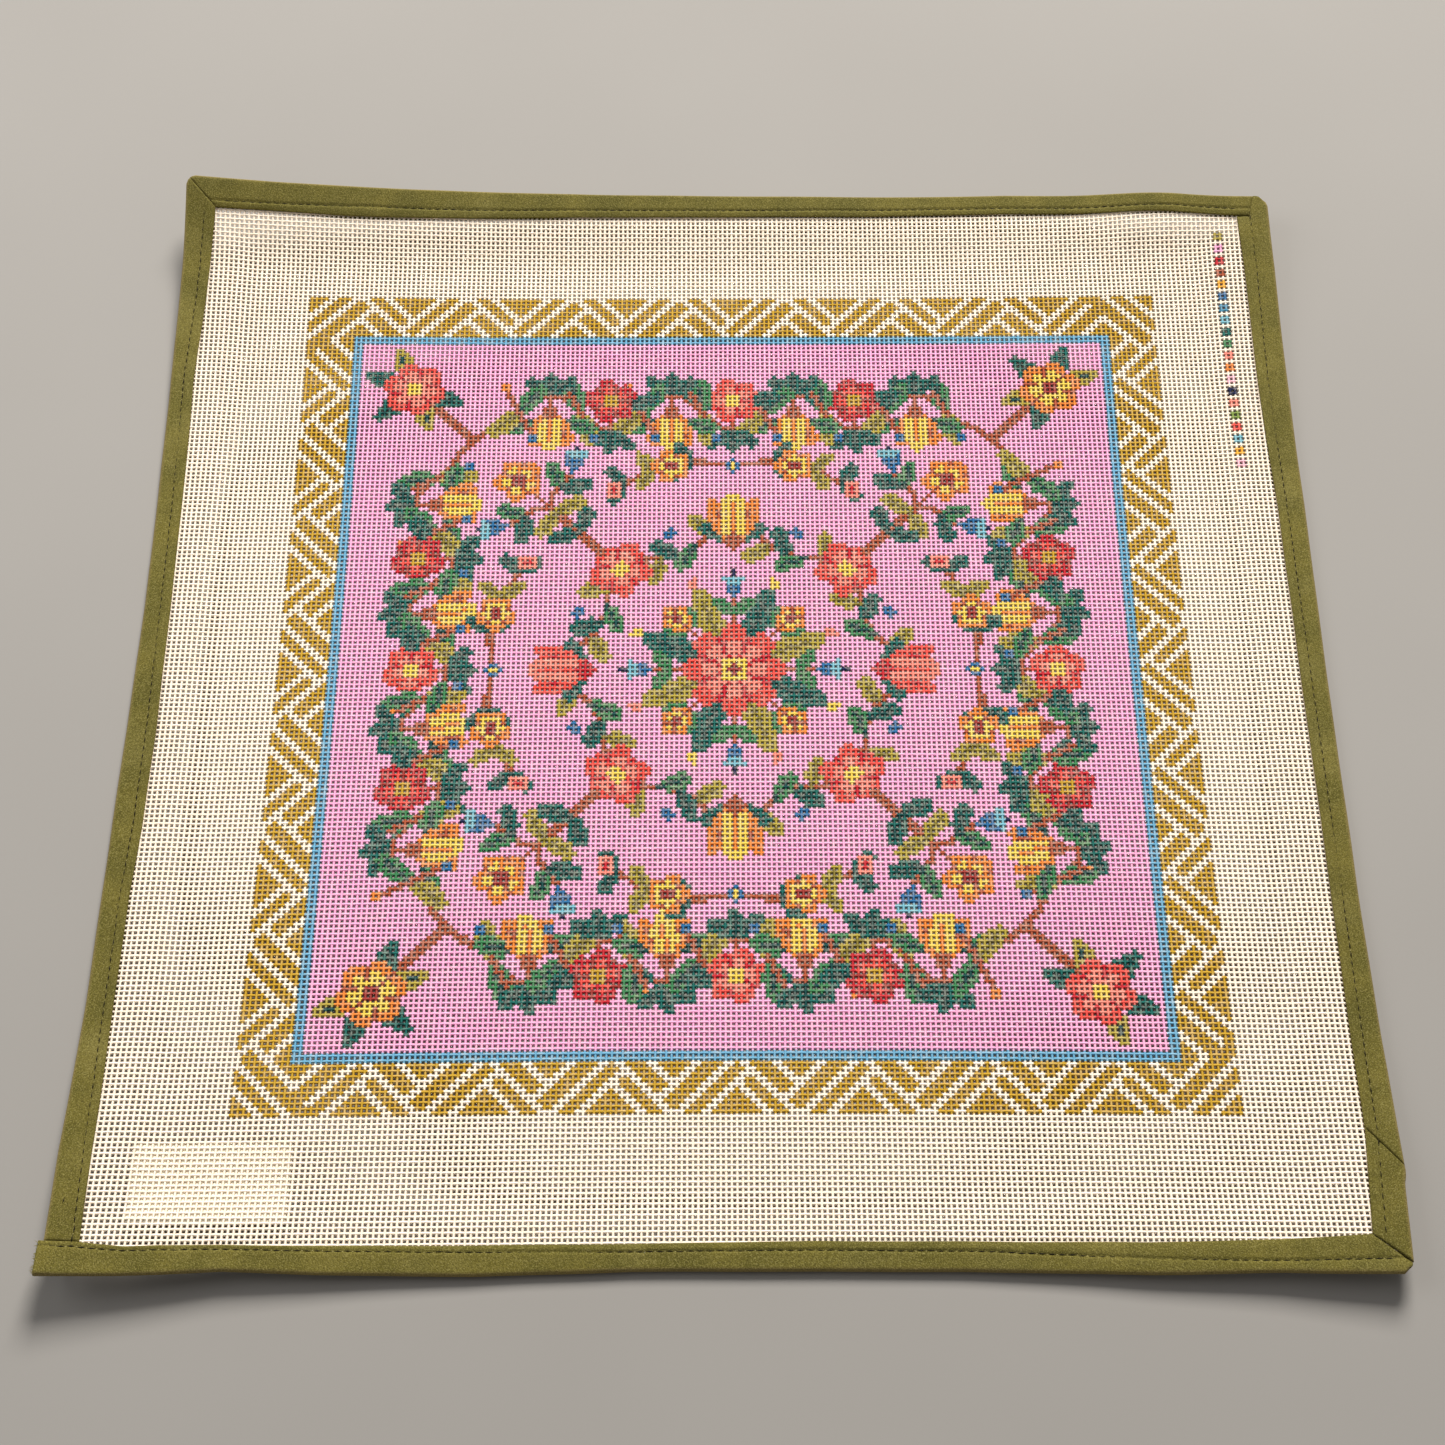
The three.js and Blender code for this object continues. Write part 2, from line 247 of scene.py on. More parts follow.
LABEL = {
    "left": 13.3 * MM, "bottom": 10.3 * MM, "width": 55.5 * MM, "height": 28.6 * MM,
    "below": 0.02 * MM, "thick": 0.2 * MM, "cells": (28, 14),
}

# Camera and light.
CAMERA_PLACE = (-3.7 * MM, -395.0 * MM, 752.6 * MM)
CAMERA_TARGET = (-2.5 * MM, -18.8 * MM, 0)
CAMERA_LENS = 54.3
CAMERA_SENSOR = 36
FLOOR_SIZE = 4.0
FLOOR_COLOURS = [(150, 146, 141), (157, 153, 148)]
SOFTBOX = {"place": (0.45, 2.2, 1.9), "size": 1.15, "power": 146, "colour": (1.0, 0.975, 0.935)}
SIDE_FILL = {"place": (-1.3, 0.3, 1.0), "size": 1.0, "power": 8, "colour": (0.97, 0.98, 1.0)}
WORLD_COLOUR = (1.0, 0.99, 0.97, 1.0)
WORLD_STRENGTH = 0.2
SPECULAR = 0.25


def smooth(share):
    share = np.clip(share, 0, 1)
    return share * share * (3 - 2 * share)


def canvas_lift(x, y):
    """How far the canvas's lower face stands above the surface at plan points."""
    along_x = np.maximum(0, np.abs(x) / HALF_WIDTH - FLAT_SHARE) / (1 - FLAT_SHARE)
    along_y = np.maximum(0, np.abs(y) / HALF_HEIGHT - FLAT_SHARE) / (1 - FLAT_SHARE)
    bottom = np.where(x < 0, *CORNER_LIFTS["bottom"])
    top = np.where(x < 0, *CORNER_LIFTS["top"])
    corner = np.where(y < 0, bottom, top)
    curl = corner * along_x**CURL_POWER_X * along_y**CURL_POWER_Y
    from_top = HALF_HEIGHT - y
    edge = TOP_EDGE_LIFT * smooth(1 - from_top / TOP_EDGE_REACH)
    across = np.exp(-(((x - PUCKER["x"]) / PUCKER["reach_x"]) ** 2))
    pucker = PUCKER["lift"] * across * smooth(1 - from_top / PUCKER["reach_y"])
    toward_left = (TOP_LIP["right_x"] - x) / (TOP_LIP["right_x"] - TOP_LIP["left_x"])
    lip = TOP_LIP["right"] + (TOP_LIP["left"] - TOP_LIP["right"]) * np.clip(toward_left, 0, 1)
    lip_up = np.maximum(0, 1 - from_top / TOP_LIP_REACH) ** TOP_LIP_POWER
    inside = np.minimum(HALF_WIDTH - np.abs(x), HALF_HEIGHT - np.abs(y))
    onto_tape = TAPE_RISE * smooth(1 - (inside - TAPE_LAP) / TAPE_RISE_REACH)
    return curl + edge + lip * lip_up + pucker + onto_tape


def weave_shift(x, y):
    """How far the weave is drawn out of square at plan points."""
    across = x / HALF_WIDTH
    up = y / HALF_HEIGHT
    pull = np.where(x < 0, CORNER_PULL["left"], CORNER_PULL["right"])
    sway = COLUMN_SWAY * np.sin(np.pi * across) * (1 - up**2)
    low = np.clip((ROW_BOW_FADE[0] - up) / ROW_BOW_FADE[1], 0, 1)
    power_x, power_y = PULL_POWERS
    shift_x = pull * np.abs(across) ** power_x * np.abs(up) ** power_y + sway
    return shift_x, (ROW_BOW + ROW_BOW_FALL * across**2) * low


def in_frame(x, y, z):
    """Points in the row frame from plan positions about the middle of the open canvas."""
    return np.stack([x + CENTRE_X, y + CENTRE_Y, z], axis=-1)


def linear(colour):
    """A display colour from 0 to 255 as the linear colour that a shader takes."""
    shares = np.array(colour) / 255
    low = shares / 12.92
    high = ((shares + 0.055) / 1.055) ** 2.4
    return (*np.where(shares <= 0.04045, low, high), 1.0)


def add_mesh(name, points, faces, material):
    mesh = bpy.data.meshes.new(name)
    mesh.from_pydata(points, [], faces)
    mesh.materials.append(material)
    thing = bpy.data.objects.new(name, mesh)
    bpy.context.scene.collection.objects.link(thing)
    return thing


def make_piece(name, points, faces, material):
    piece = add_mesh(name, points, faces, material)
    piece.data.shade_smooth()
    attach(piece, "root")
    return piece


def add_attribute(piece, name, domain, values):
    attribute = piece.data.attributes.new(name, "FLOAT", domain)
    attribute.data.foreach_set("value", np.asarray(values, np.float32).ravel())


# ---- the painted chart

COLUMNS = OPEN_COLUMNS + 1
ROWS = OPEN_ROWS + 2
chart_u, chart_v = np.meshgrid(FIRST_COLUMN + np.arange(COLUMNS), FIRST_ROW + np.arange(ROWS))
chart = np.zeros((ROWS, COLUMNS), int)


def fill(where, paint):
    chart[where] = PAINT_NAMES.index(paint)


def turned(place, turn):
    """The chart's stitches as seen from a motif at place that points along turn, in degrees."""
    angle = np.radians(turn)
    du = chart_u - place[0]
    dv = chart_v - place[1]
    return du * np.cos(angle) + dv * np.sin(angle), dv * np.cos(angle) - du * np.sin(angle)


def petal(place, turn, size, paint, vein=None):
    """A pointed oval of a length and width, with or without a line along its middle."""
    length, width = size
    along, across = turned(place, turn)
    share = along / length
    half = width / 2 * np.sqrt(np.clip(4 * share * (1 - share), 0, 1))
    inside = (share > -0.02) & (share < 1.02) & (np.abs(across) <= half + 0.15)
    fill(inside, paint)
    if vein:
        fill(inside & (np.abs(across) < 0.5) & (share < 0.8), vein)


def leaf(place, turn, size, paint):
    petal(place, turn, size, paint, VEINS[paint])


def dab(place, reach, paint):
    """A round spot."""
    fill(np.hypot(chart_u - place[0], chart_v - place[1]) <= reach, paint)


def rosette(place, shape, paints, turn=0):
    """A round flower: petals with a darker line between them, a lighter inside and a centre."""
    reach, petals = shape
    outer, line, inner, heart = paints
    along, across = turned(place, turn)
    radius = np.hypot(along, across)
    lobe = np.abs(np.cos(np.arctan2(across, along) * petals / 2))
    edge = reach * (0.74 + 0.26 * lobe)
    fill(radius <= edge, outer)
    fill((radius <= edge) & (lobe < 0.34) & (radius > 0.3 * reach), line)
    fill((radius <= 0.62 * reach) & (lobe > 0.5), inner)
    fill(radius <= 0.27 * reach, heart)


def tulip(place, turn, size, paints):
    """A cup of three pointed petals."""
    outer, inner, heart = paints
    for lean in (-26, 26):
        petal(place, turn + lean, (size, size * 0.44), outer, heart)
    petal(place, turn, (size * 1.05, size * 0.5), inner, outer)
    dab(place, size * 0.2, heart)


def bell(place, turn, size):
    """A small hanging bell with a lighter rim and a bead."""
    outer, rim, bead = BELL_PAINTS
    along, across = turned(place, turn)
    half = size * (0.16 + 0.34 * np.clip(along / size, 0, 1))
    inside = (along > -0.4) & (along < size) & (np.abs(across) <= half)
    fill(inside, outer)
    fill(inside & (along > size - 1.6), rim)
    out_u, out_v = polar(size + 0.8, turn)
    dab((place[0] + out_u, place[1] + out_v), 0.8, bead)


def spin(u, v, quarter):
    """A place turned by quarter turns about the middle of the design."""
    for _ in range(quarter):
        u, v = -v, u
    return u, v


def stem(points, width, quarter=0):
    """A smooth painted line through a list of points."""
    points = np.array([spin(*place, quarter) for place in points], float)
    ends = np.vstack([2 * points[0] - points[1], points, 2 * points[-1] - points[-2]])
    for before, start, end, after in zip(ends, ends[1:], ends[2:], ends[3:]):
        steps = max(2, int(np.hypot(*(end - start)) * 3))
        for share in np.linspace(0, 1, steps):
            bend = 2 * before - 5 * start + 4 * end - after
            twist = 3 * start - before - 3 * end + after
            place = start + 0.5 * share * (end - before + share * (bend + share * twist))
            dab(place, width / 2, STEM_PAINT)


def border_arms(s, d, whole_first):
    """Gold of the interlaced border at s stitches along a side and d in from its outer edge."""
    gold = np.abs(s) <= 4 - d
    gold |= (d - 9 <= s) & (s <= d - 7) & (s <= 9 - d)
    gold |= (7 - d <= s) & (s <= 9 - d) & (s >= d - 4)
    gold |= (d - 15 <= s) & (s <= d - 12) & (s >= -11 - d)
    gold |= (12 - d <= s) & (s <= 15 - d) & ((s <= d + 5) | whole_first)
    gold |= np.abs(s - 11.5) <= d - 6.5
    return gold


def paint_border():
    """The interlaced gold border, the line inside it and the field's ground."""
    reach = np.maximum(np.abs(chart_u), np.abs(chart_v))
    ring = (reach <= BORDER_OUTSIDE) & (reach > BORDER_OUTSIDE - BORDER_DEEP)
    sides = [(chart_u, -chart_v), (chart_v, chart_u), (-chart_u, chart_v), (-chart_v, -chart_u)]
    for s, outward in sides:
        here = ring & (outward == reach)
        for shift in range(-5, 5):
            arms = border_arms(s - shift * BORDER_REPEAT, BORDER_OUTSIDE - outward, shift == -4)
            fill(here & arms, "gold")
    fill((reach <= BORDER_OUTSIDE - BORDER_DEEP) & (reach > FIELD_HALF), "sky")
    fill(reach <= FIELD_HALF, "pink")


def polar(radius, turn):
    """A place by its distance and direction, in degrees, from the middle of the design."""
    angle = np.radians(turn)
    return radius * np.cos(angle), radius * np.sin(angle)


def vine_point(s):
    return s, -VINE_RADIUS + VINE_SWING * np.cos(2 * np.pi * s / VINE_REPEAT)


def paint_vine(rng):
    """A waving stem all round the field, with a flower in each of its bends."""
    course = [spin(*vine_point(s), quarter) for quarter in range(4) for s in range(-52, 53, 4)]
    stem(course + course[:1], VINE_STEM)
    for quarter in range(4):
        for step in range(-7, 8):
            u, v = vine_point(step * VINE_REPEAT / 4)
            if step % 2 == 0:
                paint_bend(u, v, step, quarter, rng)
            else:
                paint_leaf_pair(u, v, step, quarter, rng)
    for quarter in range(4):
        paint_corner_flower(quarter)


def paint_leaf_pair(u, v, step, quarter, rng):
    """Two leaves and two berries where the vine crosses its middle line."""
    slope = 26 if step % 4 == 1 else -26
    for side, paint in ((74, "olive"), (-106, "green")):
        turn = side + slope + 90 * quarter + rng.uniform(-9, 9)
        leaf(spin(u, v, quarter), turn, VINE_LEAF, paint)
    for side, paint in ((1, "blue"), (-1, "orange")):
        berry = (u - side * 3.2, v + side * 6.4)
        stem([(u, v), berry], THIN_STALK, quarter)
        dab(spin(*berry, quarter), BERRY, paint)


def paint_bend(u, v, step, quarter, rng):
    """The flower that one bend of the vine holds, and a fan of leaves behind the bend."""
    inner_bend = step % 4 == 0
    toward = -1 if inner_bend else 1
    flower_v = v + toward * 7.6
    stem([(u, v), (u, flower_v)], STALK, quarter)
    lean = rng.uniform(-7, 7)
    up = 90 * quarter + lean
    for side, length in ((-58, 6.5), (58, 6.5), (0, 5.2)):
        leaf(spin(u, v - toward * 0.5, quarter), up - 90 * toward + side, (length, 3.2), "teal")
    for side in (-1, 1):
        tip = spin(u + side * 3, flower_v - toward, quarter)
        leaf(tip, up + toward * (90 - side * 70), BEND_LEAF, "teal" if inner_bend else "green")
    if inner_bend:
        place = spin(u, flower_v, quarter)
        rosette(place, VINE_FLOWER, ROSETTE_PAINTS[abs(step) // 4 % 2 * 2], up)
    else:
        base = spin(u, flower_v - toward * 3, quarter)
        tulip(base, up + 90, 9.5, TULIP_PAINTS[step // 2 % 2])


def paint_corner_flower(quarter):
    place = spin(68, -68, quarter)
    stem([(55, -55), (68, -68)], CORNER_STEM, quarter)
    for turn, paint in ((-70, "olive"), (-20, "teal"), (110, "olive"), (160, "teal"), (45, "teal")):
        petal(place, turn + 90 * quarter, CORNER_LEAF, paint, "forest")
    rosette(place, CORNER_FLOWER, ROSETTE_PAINTS[quarter % 2], 45 + 90 * quarter)


def wreath_radius(turn):
    return WREATH_RADIUS + WREATH_SWING * np.cos(np.radians(8 * turn))


def paint_wreath(rng):
    """A ring of leafy stem with eight flowers."""
    stem([polar(wreath_radius(turn), turn) for turn in range(0, 361, 6)], BRANCH)
    for step in range(48):
        if step % 6 == 0:
            continue
        turn = step * 7.5
        side = 1 if step % 2 else -1
        lean = turn + 90 - side * 48 + rng.uniform(-10, 10)
        leaf(polar(wreath_radius(turn), turn), lean, LEAF, ("teal", "olive", "green")[step % 3])
        if step % 6 == 3:
            dab(polar(wreath_radius(turn) + side * 5.5, turn), BERRY, "blue")
    radius = wreath_radius(0)
    for step in range(8):
        turn = step * 45
        if step % 2:
            rosette(polar(radius, turn), WREATH_FLOWER, ROSETTE_PAINTS[0], turn)
        else:
            base = polar(radius - 3, turn)
            for side in (-62, 62):
                leaf(base, turn + side, WREATH_LEAF, "teal")
            tulip(base, turn, 11, TULIP_PAINTS[step // 2 % 2])


def paint_middle():
    """A large flower with two rings of leaves and eight long-stalked buds."""
    for step in range(8):
        turn = 22.5 + step * 45
        leaf(polar(6, turn), turn, MIDDLE_LEAF, "teal" if step % 2 else "olive")
        dab(polar(21.5, turn), 1.2, "yellow" if step % 2 else "salmon")
    for step in range(8):
        turn = step * 45
        bud = polar(16.5, turn)
        stem([polar(5, turn), bud], STALK)
        for side in (-52, 52):
            petal(polar(13, turn), turn + side, BUD_LEAF, "green")
        if step % 2:
            rosette(bud, BUD_FLOWER, ROSETTE_PAINTS[1], turn)
        else:
            bell(bud, turn, 5)
    rosette((0, 0), MIDDLE_FLOWER, ROSETTE_PAINTS[0])
    dab((0, 0), 1.2, "brick")


def mirrored(place, turn):
    """The same place and direction on the other side of the lower right diagonal."""
    return (-place[1], -place[0]), -90 - turn


def paint_sprigs(rng):
    """A flowering sprig in each inner corner and a leafy spray along the middle of each side."""
    for quarter in range(4):
        for tip in ((47, -34), (45, -45), (34, -47)):
            stem([(27, -27), (38, -38), tip], BRANCH, quarter)
        for place, turn in (((47, -34), 10), mirrored((47, -34), 10)):
            bell(spin(*place, quarter), turn + 90 * quarter, 5.5)
        rosette(spin(45, -45, quarter), SPRIG_FLOWER, ROSETTE_PAINTS[1], 45)
        for *one, paint in (
            ((37, -37), 62, "olive"), ((43, -36), 75, "teal"),
            ((43, -36), -20, "green"), ((32, -32), 15, "teal"),
        ):
            for place, turn in (one, mirrored(*one)):
                lean = turn + 90 * quarter + rng.uniform(-6, 6)
                leaf(spin(*place, quarter), lean, LEAF, paint)
        paint_spray(quarter, rng)


def paint_spray(quarter, rng):
    """A small garland that hangs between the vine and the wreath."""
    left_half = [(-23, -44), (-17, -47.5), (-9, -49.5)]
    right_half = [(-u, v) for u, v in reversed(left_half)]
    stem([*left_half, (0, -49), *right_half], STALK, quarter)
    for u, v in left_half + right_half:
        away = 1 if u > 0 else -1
        for side in (55, -55):
            turn = 90 + away * (side - 90) + 90 * quarter + rng.uniform(-8, 8)
            leaf(spin(u, v, quarter), turn, SPRAY_LEAF, "olive" if abs(u) == 17 else "teal")
    for side in (-13, 13):
        rosette(spin(side, -48.5, quarter), SPRAY_FLOWER, ROSETTE_PAINTS[1], 90 * quarter)
    for place, reach, outer, heart in (
        ((-25, -42.5), 1.9, "salmon", "red"), ((25, -42.5), 1.9, "salmon", "red"),
        ((0, -48.5), 1.8, "blue", "yellow"),
    ):
        dab(spin(*place, quarter), reach, outer)
        dab(spin(*place, quarter), BEAD, heart)


def paint_key():
    for step, paint in enumerate(KEY_PAINTS):
        top = KEY["top"] - step * KEY["period"]
        rows = (chart_v <= top) & (chart_v > top - KEY["side"])
        columns = (chart_u >= KEY["column"]) & (chart_u < KEY["column"] + KEY["side"])
        fill(rows & columns, paint)


def paint_chart():
    rng = np.random.default_rng(SEED)
    paint_border()
    paint_vine(rng)
    paint_wreath(rng)
    paint_middle()
    paint_sprigs(rng)
    paint_key()


# ---- canvas threads


def wander(rng, count, length, knots):
    """Slow drift of each of count threads at length places along it, about -1 to 1."""
    drift = rng.normal(0, 0.6, (count, knots))
    places = np.linspace(0, knots - 1, length)
    return np.array([np.interp(places, np.arange(knots), row) for row in drift])


def crossing_plan():
    """Plan position of every crossing, and the widths of both threads there."""
    rng = np.random.default_rng(SEED)
    x = np.arange(COLUMNS) * PITCH - HALF_WIDTH
    y = (np.arange(ROWS) - ROWS / 2 + 0.5) * PITCH
    x, y = np.meshgrid(x, y)
    shift_x, shift_y = weave_shift(x, y)
    x = x + shift_x + THREAD_WANDER * wander(rng, COLUMNS, ROWS, WANDER_KNOTS).T
    y = y + shift_y + THREAD_WANDER * wander(rng, ROWS, COLUMNS, WANDER_KNOTS)
    warp = THREAD_WIDTH * (1 + THREAD_UNEVEN * wander(rng, COLUMNS, ROWS, UNEVEN_KNOTS).T)
    weft = THREAD_WIDTH * (1 + THREAD_UNEVEN * wander(rng, ROWS, COLUMNS, UNEVEN_KNOTS))
    return x, y, warp, weft


def prism_corners(x, y, z, width, left):
    """Three corners at each station of threads, the ridge in the middle; left is the plan
    direction across the threads."""
    corners = []
    for side, height in ((1, -0.5), (0, 0.5), (-1, -0.5)):
        shift = side * width / 2
        level = z + height * THREAD_HEIGHT
        corners.append(in_frame(x + left[0] * shift, y + left[1] * shift, level))
    return np.stack(corners, axis=2)


def prism_normals(corners):
    """Each corner's normal, halfway between the two faces that meet there."""
    forward = np.gradient(corners, axis=1)
    face = np.cross(np.roll(corners, -1, axis=2) - corners, forward)
    face /= np.linalg.norm(face, axis=-1, keepdims=True)
    normals = face + np.roll(face, 1, axis=2)
    return normals / np.linalg.norm(normals, axis=-1, keepdims=True)


def thread_prisms(x, y, up, width, left, first):
    """Closed three-sided prisms along the last axis of the station arrays, numbered from first.
    Their normals leave out the weave's wave, so that the bands shade alike at their ends."""
    threads, stations = x.shape
    base = canvas_lift(x, y) + CANVAS_THICKNESS / 2
    points = prism_corners(x, y, base + up, width, left)
    normals = prism_normals(prism_corners(x, y, base, width, left))
    ring = first + np.arange(threads * stations * 3).reshape(threads, stations, 3)
    following = np.roll(ring, -1, axis=2)
    quads = [ring[:, :-1], following[:, :-1], following[:, 1:], ring[:, 1:]]
    quads = np.stack(quads, axis=-1).reshape(-1, 4)
    caps = np.concatenate([ring[:, 0, ::-1], ring[:, -1]])
    return points.reshape(-1, 3), normals.reshape(-1, 3), quads, caps


def with_ends(values, at_start, at_end, run_on):
    """Stations of threads, their first one or last one repeated run_on further out."""
    first = [values[:, :1] - run_on] if at_start else []
    last = [values[:, -1:] + run_on] if at_end else []
    return np.concatenate([*first, values, *last], axis=1)


def canvas_band(number, plan, material):
    """One horizontal band of the canvas: its weft threads and its stretch of every warp thread."""
    x, y, warp_width, weft_width = plan
    wave = WEAVE_WAVE * ((np.add.outer(np.arange(ROWS), np.arange(COLUMNS)) % 2) * 2 - 1)
    lowest = number == 0
    highest = number == BANDS - 1
    start = ROWS * number // BANDS
    stop = ROWS * (number + 1) // BANDS
    warp_stop = stop if highest else stop + 1  # its warp reaches the next band's first row
    warp = [
        with_ends(values[start:warp_stop].T, lowest, highest, run_on)
        for values, run_on in ((x, 0), (y, TURN_IN["y"]), (wave, 0), (warp_width, 0), (chart, 0))
    ]
    weft = [
        with_ends(values[start:stop], True, True, run_on)
        for values, run_on in ((x, TURN_IN["x"]), (y, 0), (-wave, 0), (weft_width, 0), (chart, 0))
    ]
    parts = []
    for stations, left in ((warp[:4], (-1, 0)), (weft[:4], (0, 1))):
        first = sum(len(part[0]) for part in parts)
        parts.append(thread_prisms(*stations, left, first))
    points, normals, quads, caps = (np.concatenate(part) for part in zip(*parts))
    faces = quads.tolist() + caps.tolist()
    piece = make_piece(f"canvas_band_{number + 1}", points, faces, material)
    piece.data.normals_split_custom_set_from_vertices(normals.tolist())
    paint_attributes(piece, warp[4], weft[4], len(caps))
    bake_map(piece, len(quads), points)
    return piece


def paint_attributes(piece, warp_chart, weft_chart, caps):
    """Each face's paint at its two ends, whether it looks up, and how far along it a corner is."""
    plain = np.zeros(caps)
    charts = (warp_chart, weft_chart)
    start = np.concatenate([np.repeat(part[:, :-1], 3) for part in charts] + [plain])
    end = np.concatenate([np.repeat(part[:, 1:], 3) for part in charts] + [plain])
    quads = len(start) - caps
    upper = np.concatenate([np.tile([1, 1, 0], quads // 3), plain])
    along = np.concatenate([np.tile([0, 0, 1, 1], quads), np.zeros(caps * 3)])
    add_attribute(piece, "paint_from", "FACE", start)
    add_attribute(piece, "paint_to", "FACE", end)
    add_attribute(piece, "face_up", "FACE", upper)
    add_attribute(piece, "along", "CORNER", along)


def bake_map(piece, quad_count, points):
    """A flat map for baking, its lower half for the upper faces, its upper half for the rest."""
    mesh = piece.data
    corners = np.empty(len(mesh.loops), int)
    mesh.loops.foreach_get("vertex_index", corners)
    low = points.min(axis=0)
    place = (points[corners] - low) / (points.max(axis=0) - low)
    under = np.zeros(len(corners))
    under[: quad_count * 4] = np.tile(np.repeat([0.0, 0.0, 1.0], 4), quad_count // 3)
    flat = np.stack([place[:, 0], (place[:, 1] + under) / 2], axis=1)
    layer = mesh.uv_layers.new(name="OFBake")
    layer.uv.foreach_set("vector", flat.astype(np.float32).ravel())


def build_canvas(material):
    plan = crossing_plan()
    for number in range(BANDS):
        piece = canvas_band(number, plan, material)
        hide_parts("canvas")


# ---- binding tape


def side_length(side):
    return 2 * (HALF_HEIGHT if side["outward"][0] else HALF_WIDTH)


def side_point(side, along, out):
    """Plan position at a distance along a side and outward from the open canvas's edge."""
    away_x, away_y = side["outward"]
    x = (away_x - away_y) * HALF_WIDTH + away_y * along + away_x * out
    y = (away_y + away_x) * HALF_HEIGHT - away_x * along + away_y * out
    return x, y


def edges_at(side, along):
    """Width outside the open canvas and lap over it at a distance along a side."""
    share = along / side_length(side)
    shares, widths, laps = zip(*side["edges"])
    return np.interp(share, shares, widths) * MM, np.interp(share, shares, laps) * MM


def seam_at(side, along):
    """Distance of the machine stitching from the tape's inner edge."""
    shares, offsets = zip(*side["seam"])
    return np.interp(along / side_length(side), shares, offsets) * MM


def seam_out(side, along):
    """Distance of the machine stitching outward from the open canvas's edge."""
    return seam_at(side, along) - edges_at(side, along)[1]


def waver(along, number):
    """Slow, fixed unevenness along a side, about -1 to 1; number picks the curve."""
    phase = 1.7 * number
    slow, quick, fade = (along / length for length in WAVER_LENGTHS)
    wave = np.sin(slow + phase) + np.sin(quick + 2.3 * phase)
    return 0.5 * wave * np.cos(fade + phase)


def across_places(width, seam):
    """Places across a tape's face, from its inner edge to its fold."""
    near_lip = np.array(LIP_STEPS) * MM
    near_seam = seam + np.array(SEAM_STEPS) * SEAM_REACH
    between = np.linspace(FACE_START, width - FACE_STOP, FACE_PLACES)
    near_fold = width - np.array(FOLD_STEPS) * MM
    return np.sort(np.clip(np.concatenate([near_lip, near_seam, between, near_fold]), 0, width))


def quarter_round(share):
    """Height of a quarter circle over its run from nought to one."""
    return np.sqrt(np.clip(1 - (1 - np.minimum(share, 1)) ** 2, 0, 1))


def face_height(across, width, seam):
    """Height of a tape's face over the canvas's middle layer."""
    full = TAPE_LIP + (TAPE_FACE - TAPE_LIP) * smooth(across / LIP_RISE)
    lip = LIP_START + (1 - LIP_START) * quarter_round(across / LIP_ROUND)
    sink = SEAM_SINK * np.exp(-(((across - seam) / SEAM_REACH) ** 2))
    raised = TAPE_BORE + (full - TAPE_BORE) * lip - sink
    return raised * quarter_round((width - across) / FOLD_ROUND)


def round_corner(points, corner, reach, power):
    """Rounds or cuts a square outer corner: points near it are drawn in towards its centre."""
    centre = np.array(corner) - np.sign(corner) * reach
    away = (points - centre) * np.sign(corner)
    near = (away > 0).all(axis=-1)[..., None]
    away = np.where(near, away, 1.0)
    longest = away.max(axis=-1, keepdims=True)
    spread = (away**power).sum(axis=-1, keepdims=True) ** (1 / power)
    return np.where(near, centre + away * (longest / spread) * np.sign(corner), points)


